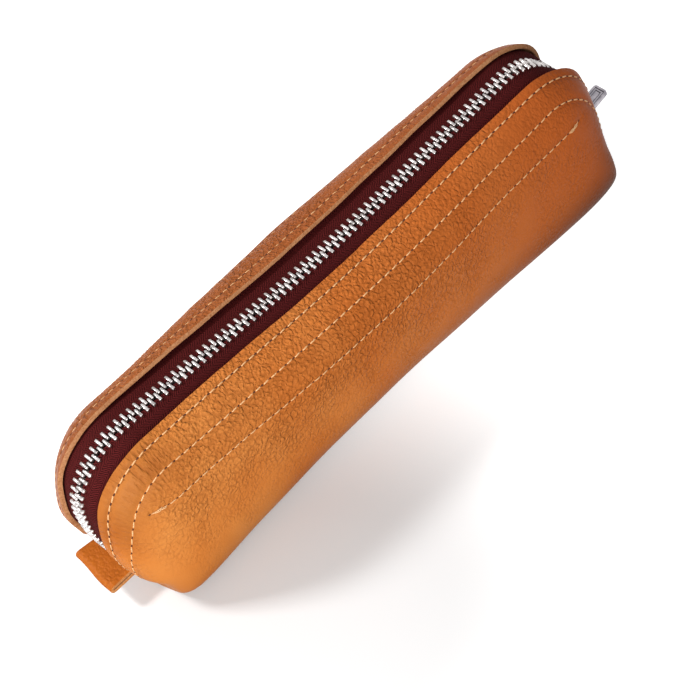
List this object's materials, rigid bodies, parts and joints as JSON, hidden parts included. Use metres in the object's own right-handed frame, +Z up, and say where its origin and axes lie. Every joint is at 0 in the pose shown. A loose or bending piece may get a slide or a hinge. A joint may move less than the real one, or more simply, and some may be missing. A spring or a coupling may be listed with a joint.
{
  "type": "pen case",
  "caption": "Long soft leather pen case with a flat base, boxed lower corners, a metal zip along the top and down both ends, sewn rows and a folded loop tab",
  "frame": {"origin": "centre of the flat base, at the foot of the case, midway between the two leather ends", "axes": "+X along the case to the end where the slider is parked, -Y the front, +Z up from the base to the zip"},
  "size_m": [0.2295, 0.0524, 0.055],
  "materials": {
    "leather": "tan pebbled full-grain hide, vegetable dyed, low sheen",
    "zip_tape": "dark maroon woven zip tape with a fine herringbone",
    "nickel": "nickel-plated stamped metal, bright on the edges",
    "thread": "pale orange bonded sewing thread"
  },
  "bodies": {
    "case": {"leather_body": "leather", "tape_front": "zip_tape", "tape_back": "zip_tape", "bead_front": "zip_tape", "bead_back": "zip_tape", "teeth_front": "nickel", "teeth_back": "nickel", "top_stop_front": "nickel", "top_stop_back": "nickel", "bottom_stop": "nickel", "row_one_front": "thread", "row_one_back": "thread", "row_two_front": "thread", "row_two_back": "thread", "row_three_front": "thread", "row_three_back": "thread"},
    "slider": {"slider_body": "nickel", "slider_bridge": "nickel"},
    "pull": {"pull_tab": "nickel"},
    "tab": {"loop_tab": "leather"}
  },
  "joints": [
    {"name": "slider_travel", "type": "slide", "parent": "case", "child": "slider", "axis": [0.2334, 0, 0.9724], "range_m": [0, 0.008]},
    {"name": "pull_swing", "type": "hinge", "parent": "slider", "child": "pull", "pos_m": [0.10164, 0, 0.00956], "axis": [0, -1, 0], "range_deg": [-36, 60]},
    {"name": "tab_flex", "type": "hinge", "parent": "case", "child": "tab", "pos_m": [-0.09924, 0, 0.0075], "axis": [0, 1, 0], "range_deg": [-30, 30], "stiffness_Nm_per_rad": 0.01}
  ]
}
